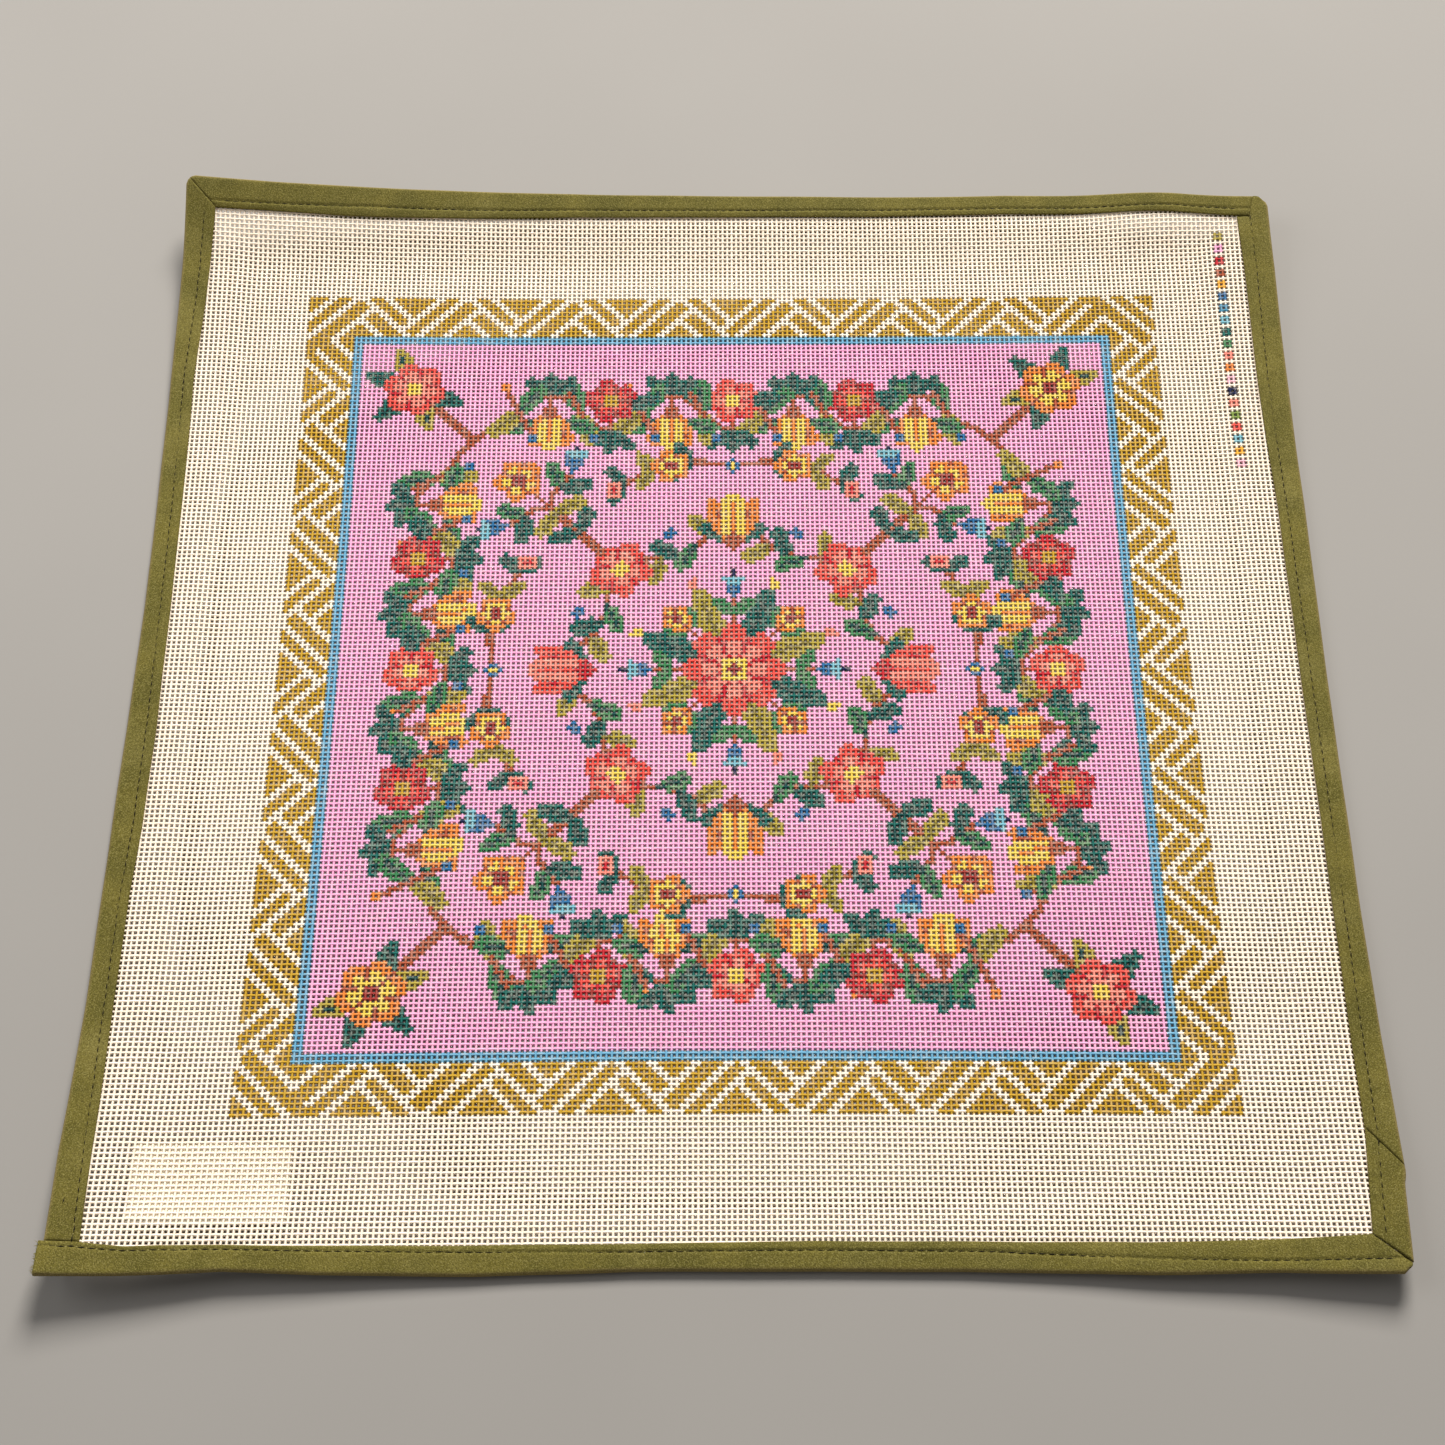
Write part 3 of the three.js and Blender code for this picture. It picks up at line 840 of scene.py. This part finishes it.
class Strip:
    """One side's tape. The cut lines give how far each end lies along at a distance outward, and
    the lifts how far, in mm, each end stands over its neighbour or, below nought, under it."""

    def __init__(self, side, cuts, start_at=0.0, end_at=None, lifts=(0, 0)):
        self.side = side
        self.start_cut, self.end_cut = cuts
        self.start_at = start_at
        self.end_at = side_length(side) if end_at is None else end_at
        self.lifts = lifts
        self.number = side["outward"][0] * 2 + side["outward"][1] * 3  # picks its unevenness
        first = self.start_at + self.start_cut(seam_out(side, self.start_at))
        last = self.end_at + self.end_cut(seam_out(side, self.end_at))
        self.stitched = [first + STITCH_MARGIN, last - STITCH_MARGIN]

    def stations(self):
        count = int((self.end_at - self.start_at) / STATION_STEP)
        even = np.linspace(self.start_at, self.end_at, count + 1)
        near = np.array(END_STEPS) * MM
        return np.sort(np.concatenate([even, self.start_at + near, self.end_at - near]))

    def slide(self, along, out):
        near_start = smooth(1 - (along - self.start_at) / END_REACH)
        near_end = smooth(1 - (self.end_at - along) / END_REACH)
        return self.start_cut(out) * near_start + self.end_cut(out) * near_end

    def end_height(self, along):
        """How far the face rises near an end, and its roll down at the very end."""
        height = 0
        for distance, lift in zip((along - self.start_at, self.end_at - along), self.lifts):
            height += lift * MM * smooth(1 - distance / LIFT_REACH)
            height -= END_DROP * (1 - np.clip(distance / END_ROUND, 0, 1)) ** 2.5
        return height

    def section(self, along):
        """The points of one station: outward and up from the canvas's middle layer."""
        width, lap = edges_at(self.side, along)
        lap = lap + EDGE_WAVER * waver(along, self.number)
        width = width + lap + EDGE_WAVER * waver(along, self.number + 0.6)
        seam = seam_at(self.side, along)
        across = across_places(width, seam)
        swell = TAPE_SWELL * waver(along, self.number + 0.3) * np.sin(np.pi * across / width)
        inside = np.clip(across / MM, 0, 1) * np.clip((width - across) / MM, 0, 1)
        height = face_height(across, width, seam) + swell
        height = height + self.end_height(along) * inside
        bore = np.array([BORE_START, width - BORE_STOP])
        out = np.concatenate([across, across[-2::-1], bore, bore[::-1]]) - lap
        up = np.concatenate([height, -height[-2::-1], [-BORE_LEVEL] * 2, [BORE_LEVEL] * 2])
        return out, up

    def rings(self):
        """Points, and how far along and across the tape each one lies."""
        rings, marks = [], []
        tape_side = self.side["outward"][0] + self.side["outward"][1] * 2
        for along in self.stations():
            out, up = self.section(along)
            place = along + self.slide(along, out)
            rings.append(np.stack([*side_point(self.side, place, out), up], axis=-1))
            width, lap = edges_at(self.side, along)
            # Share near the fold that gets the paler tone: real wear plus a painted sheen.
            fold = smooth(1 - (width - out) / FOLD_WEAR_AND_SHEEN)
            marks.append(np.stack([place, out + lap, fold, 0 * out + tape_side], axis=-1))
        return np.array(rings), np.array(marks)


def strip_faces(rings, first):
    """Faces of a closed strip through its rings, numbered from first."""
    stations, count = rings.shape[:2]
    ring = first + np.arange(stations * count).reshape(stations, count)
    following = np.roll(ring, -1, axis=1)
    quads = np.stack([ring[:-1], ring[1:], following[1:], following[:-1]], axis=-1)
    faces = quads.reshape(-1, 4).tolist()
    outer = count - 4
    half = (outer + 1) // 2
    for cap, order in ((ring[0], 1), (ring[-1], -1)):
        cap = cap.tolist()
        lower = [cap[outer], cap[outer + 1], *cap[half - 1 : outer]]
        upper = [*cap[:half], cap[outer + 2], cap[outer + 3]]
        fold = [cap[half - 1], cap[outer + 1], cap[outer + 2]]
        faces += [loop[::order] for loop in (upper, fold, lower)]
    return faces


def lozenges(places, directions, lengths, width):
    """Six-pointed grains, each drawn out along its own direction and a little flat."""
    forward = directions / np.linalg.norm(directions, axis=1, keepdims=True)
    side = np.stack([-forward[:, 1], forward[:, 0], 0 * forward[:, 0]], axis=1)
    upward = np.cross(forward, side)
    axes = [forward * lengths[:, None], side * width, upward * (width * GRAIN_HEIGHT)]
    corners = np.array([(1, 0, 0), (0, 1, 0), (-1, 0, 0), (0, -1, 0), (0, 0, 1), (0, 0, -1)])
    points = places[:, None] + corners @ np.stack(axes, axis=1) / 2
    ring = [(0, 1), (1, 2), (2, 3), (3, 0)]
    shape = [(a, b, 4) for a, b in ring] + [(b, a, 5) for a, b in ring]
    faces = np.arange(len(places))[:, None, None] * 6 + np.array(shape)
    return points.reshape(-1, 3), faces.reshape(-1, 3)


def stitch_rows(strip, rng):
    """The machine stitches on both faces of a strip, with the pale dots between them."""
    side = strip.side
    first, last = strip.stitched
    along = np.linspace(first, last, int((last - first) / STITCH_PITCH))
    grains = []
    for shift, length, width, sunk, thread in (
        (0.0, STITCH_LENGTH, STITCH_WIDTH, 0.0, STITCH),
        (0.5, DOT_LENGTH, DOT_WIDTH, DOT_SUNK, DOT),
    ):
        spots = along[:-1] + shift * STITCH_PITCH
        shift_out, tilt = rng.normal(0, 1, (2, len(spots))) * [[STITCH_JITTER], [STITCH_TILT]]
        out = seam_out(side, spots) + shift_out
        for face in (1, -1):
            up = face * (TAPE_FACE - SEAM_SINK + STITCH_PROUD - sunk) + 0 * out
            ends = [
                np.stack([*side_point(side, spots + step, out + step * tilt), up], axis=1)
                for step in (-length / 2, length / 2)
            ]
            grains.append((ends, width, thread))
    return grains


def grain_mesh(grains, corners):
    """Points, faces and paint of all grains of a tape, laid on the curled sheet."""
    points, faces, threads = [], [], []
    for ends, width, thread in grains:
        start, end = (on_sheet(place, corners) for place in ends)
        length = np.linalg.norm(end - start, axis=1)
        part, part_faces = lozenges((start + end) / 2, end - start, length, width)
        faces.append(part_faces + sum(len(p) for p in points))
        points.append(part)
        threads += [thread] * len(part_faces)
    return np.concatenate(points), np.concatenate(faces), threads


def on_sheet(points, corners):
    """Points given by plan position and height over the canvas, set on the curled canvas."""
    plan = points[..., :2]
    for corner, reach, power in corners:
        plan = round_corner(plan, corner, reach, power)
    x, y = plan[..., 0], plan[..., 1]
    return in_frame(x, y, canvas_lift(x, y) + CANVAS_THICKNESS / 2 + points[..., 2])


def build_tape(name, strips, corners, extra_grains, material):
    rng = np.random.default_rng(SEED)
    points, faces, marks = [], [], []
    for strip in strips:
        rings, ring_marks = strip.rings()
        faces += strip_faces(rings, sum(len(p) for p in points))
        points.append(on_sheet(rings, corners).reshape(-1, 3))
        marks.append(ring_marks.reshape(-1, 4))
    threads = [0] * len(faces)
    grains = [grain for strip in strips for grain in stitch_rows(strip, rng)] + extra_grains
    grain_points, grain_faces, grain_threads = grain_mesh(grains, corners)
    faces += (grain_faces + sum(len(p) for p in points)).tolist()
    points = np.concatenate(points + [grain_points])
    marks = np.concatenate(marks + [np.zeros((len(grain_points), 4))])
    piece = make_piece(name, points, faces, material)
    add_attribute(piece, "thread", "FACE", threads + grain_threads)
    for column, mark in enumerate(("along_tape", "across_tape", "fold", "tape_side")):
        add_attribute(piece, mark, "POINT", marks[:, column])
    return piece


def fold_cuts(first, second, courses):
    """Cut lines for the first side's end and the second side's start. The courses take the two
    whole face widths and give each cut as a list of (distance across that side's own tape,
    distance across the other's), from the inner corner."""
    width_a, lap_a = edges_at(first, side_length(first))
    width_b, lap_b = edges_at(second, 0.0)
    end_course, start_course = courses(width_a + lap_a, width_b + lap_b)
    across_a, over_b = np.array(end_course).T
    across_b, over_a = np.array(start_course).T
    end_cut = lambda out: np.interp(out + lap_a, across_a, over_b) - lap_b
    start_cut = lambda out: -np.interp(out + lap_b, across_b, over_a) + lap_a
    return end_cut, start_cut


def mitre(wide_a, wide_b):
    """A plain mitre, from the inner corner to the outer one."""
    return [(0, 0), (wide_a, wide_b)], [(0, 0), (wide_b, wide_a)]


def pleat(wide_a, wide_b):
    """The upper right fold, where the first tape ends in a pleat over the second."""
    end_course = [(0, PLEAT[0]), (wide_a, PLEAT[1] + PLEAT_TUCK)]
    return end_course, [(0, 0), (PLEAT[0], 0), (PLEAT[1], wide_a), (wide_b, wide_a)]


def open_fold(wide_a, wide_b):
    """The lower right fold, which gapes and ends on the right edge above the corner."""
    stop = wide_b - OPEN_FOLD_STOP
    narrow, broad = OPEN_FOLD_GAP
    end_course = [(0, -narrow / 2), (wide_a, stop - broad / 2)]
    return end_course, [(narrow / 2, 0), (stop + broad / 2, wide_a), (wide_b, wide_a)]


def outer_corner(x_side, x_end, y_side, y_end):
    """The square corner where the folds of two sides would meet."""
    x = HALF_WIDTH + edges_at(x_side, x_end * side_length(x_side))[0]
    y = HALF_HEIGHT + edges_at(y_side, y_end * side_length(y_side))[0]
    return x_side["outward"][0] * x, y_side["outward"][1] * y


def frayed_end(side, end_at):
    """Short loose fibres along the bottom tape's cut end."""
    rng = np.random.default_rng(SEED)
    width, lap = edges_at(side, side_length(side))
    out = rng.uniform(-lap + 0.4 * MM, width - 0.6 * MM, FIBRES)
    up = rng.uniform(*FIBRE_HEIGHTS, FIBRES)
    reach = rng.uniform(*FIBRE_REACHES, FIBRES)
    lean = rng.normal(0, FIBRE_LEAN, (2, FIBRES))
    tip_up = np.maximum(up + lean[1], -FIBRE_HEIGHTS[1])
    root = np.stack([*side_point(side, end_at - FIBRE_ROOT, out), up], axis=1)
    tip = np.stack([*side_point(side, end_at + reach, out + lean[0]), tip_up], axis=1)
    return [((root, tip), FIBRE_WIDTH, FIBRE)]


def stray_stitch(side):
    """One loose stitch on the left tape, near the lower corner."""
    x, y = side_point(side, *(np.array(STRAY) * MM))
    ends = np.stack([x, y, np.full(2, TAPE_FACE)], axis=1)
    return [((ends[:1], ends[1:]), STRAY_WIDTH, STITCH)]


def build_binding(material):
    left, top, right, bottom = (SIDES[name] for name in ("left", "top", "right", "bottom"))
    corners = [
        (outer_corner(left, 1, top, 0), *UPPER_LEFT_ROUND),
        (outer_corner(right, 0, top, 1), *UPPER_RIGHT_CUT),
        (outer_corner(right, 1, bottom, 0), *LOWER_RIGHT_CUT),
    ]
    square = lambda out: 0 * out
    slant = lambda out: JOIN_SLOPE * out
    left_end, top_start = fold_cuts(left, top, mitre)
    top_end, right_start = fold_cuts(top, right, pleat)
    right_end, bottom_start = fold_cuts(right, bottom, open_fold)
    bottom_lap = lambda out: edges_at(bottom, side_length(bottom) + out)[1]
    crossed = lambda out: bottom_lap(out) - bottom_lap(0)
    start = bottom_lap(0) + BUTT_GAP
    join = JOIN_SHARE * side_length(right)
    long_strips = [
        Strip(left, (crossed, left_end), start_at=start, lifts=(-0.3, 0.4)),
        Strip(top, (top_start, top_end), lifts=(0.25, 0.3)),
        Strip(right, (right_start, slant), end_at=join, lifts=(-0.3, 0.15)),
    ]
    cut_end = side_length(bottom) + edges_at(left, 0.0)[0] + CUT_END_OVERHANG
    short_strips = [
        Strip(right, (slant, right_end), start_at=join + JOIN_GAP, lifts=(-0.15, 0)),
        Strip(bottom, (bottom_start, square), end_at=cut_end, lifts=(0, 0.5)),
    ]
    short_strips[1].stitched[0] = -seam_out(right, side_length(right))  # on the right seam
    strays = stray_stitch(left)
    fibres = frayed_end(bottom, cut_end)
    long_tape = build_tape("tape_long", long_strips, corners, strays, material)
    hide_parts("binding_long")
    short_tape = build_tape("tape_short", short_strips, corners, fibres, material)
    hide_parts("binding_short")


# ---- label


def build_label(material):
    columns, rows = LABEL["cells"]
    x = LABEL["left"] - HALF_WIDTH + np.linspace(0, LABEL["width"], columns + 1)
    y = LABEL["bottom"] - HALF_HEIGHT + np.linspace(0, LABEL["height"], rows + 1)
    x, y = np.meshgrid(x, y)
    top = canvas_lift(x, y) - LABEL["below"]
    layers = [in_frame(x, y, top - drop).reshape(-1, 3) for drop in (0, LABEL["thick"])]
    grid = np.arange(x.size).reshape(x.shape)
    cells = [grid[:-1, :-1], grid[:-1, 1:], grid[1:, 1:], grid[1:, :-1]]
    upper = np.stack(cells, axis=-1).reshape(-1, 4)
    lower = upper[:, ::-1] + x.size
    rim = np.concatenate([grid[0, :-1], grid[:-1, -1], grid[-1, :0:-1], grid[:0:-1, 0]])
    after = np.roll(rim, -1)
    wall = np.stack([rim, rim + x.size, after + x.size, after], axis=1)
    faces = np.concatenate([upper, lower, wall]).tolist()
    piece = make_piece("label_paper", np.concatenate(layers), faces, material)
    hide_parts("label")


# ---- materials


class Nodes:
    """A short way to add and link shader nodes in one material."""

    def __init__(self, name):
        self.material = bpy.data.materials.new(name)
        self.material.use_nodes = True
        self.tree = self.material.node_tree
        self.shader = self.tree.nodes["Principled BSDF"]

    def put(self, socket, value):
        if isinstance(value, bpy.types.NodeSocket):
            self.tree.links.new(value, socket)
        else:
            socket.default_value = value

    def add(self, kind, inputs, output=0, **settings):
        node = self.tree.nodes.new(kind)
        for key, value in settings.items():
            setattr(node, key, value)
        for key, value in inputs.items():
            self.put(node.inputs[key], value)
        return node.outputs[output]

    def attribute(self, name):
        return self.add("ShaderNodeAttribute", {}, "Fac", attribute_name=name)

    def math(self, operation, *values):
        return self.add("ShaderNodeMath", dict(enumerate(values)), operation=operation)

    def over(self, value, limit):
        return self.math("GREATER_THAN", value, limit)

    def noise(self, scale, detail, place=None):
        place = place or self.add("ShaderNodeTexCoord", {}, "Object")
        inputs = {"Vector": place, "Scale": scale, "Detail": detail}
        return self.add("ShaderNodeTexNoise", inputs, "Fac")

    def spread(self, value, low, high, to_low=0.0, to_high=1.0):
        inputs = {0: value, 1: low, 2: high, 3: to_low, 4: to_high}
        return self.add("ShaderNodeMapRange", inputs, clamp=True)

    def mix(self, share, first, second, blend="MIX"):
        inputs = {0: share, 6: first, 7: second}
        return self.add("ShaderNodeMix", inputs, 2, data_type="RGBA", blend_type=blend)

    def finish(self, colour, height, distance, roughness, strength):
        inputs = {"Height": height, "Distance": distance, "Strength": strength}
        bump = self.add("ShaderNodeBump", inputs, "Normal")
        self.put(self.shader.inputs["Base Color"], colour)
        self.put(self.shader.inputs["Normal"], bump)
        self.shader.inputs["Roughness"].default_value = roughness
        self.shader.inputs["Specular IOR Level"].default_value = SPECULAR
        return self.material


def palette_ramp(nodes, index):
    """The paint colours as steps of one ramp, looked up by their number."""
    count = len(PAINT_NAMES)
    share = nodes.math("DIVIDE", nodes.math("ADD", index, 0.5), count)
    colour = nodes.add("ShaderNodeValToRGB", {0: share})
    ramp = colour.node.color_ramp
    ramp.interpolation = "CONSTANT"
    while len(ramp.elements) < count:
        ramp.elements.new(1.0)
    for number, name in enumerate(PAINT_NAMES):
        ramp.elements[number].position = number / count
        ramp.elements[number].color = linear(PAINTS[name])
    return colour


def canvas_material():
    nodes = Nodes("painted_canvas")
    ragged = nodes.spread(nodes.noise(900, 1), 0.3, 0.7, -0.14, 0.14)
    along = nodes.math("ADD", nodes.attribute("along"), ragged)
    beyond = nodes.over(along, 0.5)
    start = nodes.attribute("paint_from")
    step = nodes.math("SUBTRACT", nodes.attribute("paint_to"), start)
    index = nodes.math("ADD", start, nodes.math("MULTIPLY", beyond, step))
    paint = palette_ramp(nodes, nodes.math("ROUND", index))
    coat = nodes.spread(nodes.noise(420, 2), 0.45, 0.8, 1.0, 0.7)
    face_up = nodes.spread(nodes.attribute("face_up"), 0.0, 1.0, 0.35, 1.0)
    colour = nodes.mix(nodes.math("MULTIPLY", coat, face_up), linear(PAINTS["bare"]), paint)
    tone = nodes.spread(nodes.noise(160, 3), 0.35, 0.75, 0.0, 0.16)
    colour = nodes.mix(tone, colour, linear((236, 222, 196)), "MULTIPLY")
    return nodes.finish(colour, nodes.noise(5200, 3), 0.05 * MM, 0.8, 0.5)


def twill_ribs(nodes):
    """Noise drawn out along the twill's diagonal."""
    along = nodes.attribute("along_tape")
    across = nodes.attribute("across_tape")
    steep = nodes.math("MULTIPLY", nodes.math("ADD", along, across), 2.6)
    shallow = nodes.math("SUBTRACT", along, across)
    inputs = {0: steep, 1: shallow, 2: nodes.attribute("tape_side")}
    return nodes.noise(620, 3, nodes.add("ShaderNodeCombineXYZ", inputs))


def tape_material():
    nodes = Nodes("olive_twill")
    shade = nodes.spread(nodes.noise(70, 4), 0.35, 0.65)
    colour = nodes.mix(shade, linear((90, 84, 27)), linear((108, 99, 37)))
    blotch = nodes.spread(nodes.noise(38, 2), 0.56, 0.78, 0.0, 0.45)
    colour = nodes.mix(blotch, colour, linear((134, 124, 66)))
    rib = twill_ribs(nodes)
    grain = nodes.noise(2300, 2)
    colour = nodes.mix(nodes.spread(grain, 0.5, 0.7, 0.0, 0.55), colour, linear((158, 148, 90)))
    colour = nodes.mix(nodes.spread(grain, 0.28, 0.5, 0.5, 0.0), colour, linear((50, 44, 12)))
    colour = nodes.mix(nodes.spread(rib, 0.3, 0.55, 0.55, 0.0), colour, linear((60, 52, 16)))
    # Painted sheen with real wear: the rounded fold is painted paler, as if catching the light.
    wear_and_sheen = nodes.math("MULTIPLY", nodes.attribute("fold"), nodes.spread(grain, 0.3, 0.7, 0.35, 0.9))
    colour = nodes.mix(wear_and_sheen, colour, linear((156, 136, 88)))
    thread = nodes.attribute("thread")
    for number, paint in THREAD_PAINTS.items():
        colour = nodes.mix(nodes.over(thread, number - 0.5), colour, linear(paint))
    return nodes.finish(colour, nodes.math("ADD", rib, grain), 0.16 * MM, 0.9, 0.8)


def paper_material():
    nodes = Nodes("label_paper")
    colour = nodes.mix(nodes.noise(90, 3), linear((255, 250, 232)), linear((250, 240, 214)))
    return nodes.finish(colour, nodes.noise(700, 3), 0.03 * MM, 0.7, 0.4)


# ---- stage, light and camera


def build_stage():
    nodes = Nodes("floor_paint")
    colour = nodes.mix(nodes.noise(6, 2), linear(FLOOR_COLOURS[0]), linear(FLOOR_COLOURS[1]))
    material = nodes.finish(colour, nodes.noise(300, 2), 0.02 * MM, 0.9, 0.2)
    half = FLOOR_SIZE / 2
    corners = [(-half, -half, 0), (half, -half, 0), (half, half, 0), (-half, half, 0)]
    floor = add_mesh("floor", corners, [(0, 1, 2, 3)], material)


def aim(thing, place, target):
    direction = Vector(target) - Vector(place)
    thing.location = place
    thing.rotation_euler = direction.to_track_quat("-Z", "Y").to_euler()
    bpy.context.scene.collection.objects.link(thing)


def add_light(name, place, size, power, colour):
    light = bpy.data.lights.new(name, "AREA")
    light.size = size
    light.energy = power
    light.color = colour
    aim(bpy.data.objects.new(name, light), place, (0, 0, 0))


def build_lights():
    add_light("softbox", **SOFTBOX)
    add_light("side_fill", **SIDE_FILL)
    world = bpy.data.worlds.new("studio")
    world.use_nodes = True
    background = world.node_tree.nodes["Background"]
    background.inputs["Color"].default_value = WORLD_COLOUR
    background.inputs["Strength"].default_value = WORLD_STRENGTH
    bpy.context.scene.world = world


def build_camera():
    lens = bpy.data.cameras.new("camera")
    lens.lens = CAMERA_LENS
    lens.sensor_width = CAMERA_SENSOR
    camera = bpy.data.objects.new("camera", lens)
    aim(camera, CAMERA_PLACE, CAMERA_TARGET)
    bpy.context.scene.camera = camera
    bpy.context.scene.view_settings.view_transform = "Standard"


build_camera()
build_lights()
build_stage()
paint_chart()
build_canvas(canvas_material())
build_binding(tape_material())
build_label(paper_material())
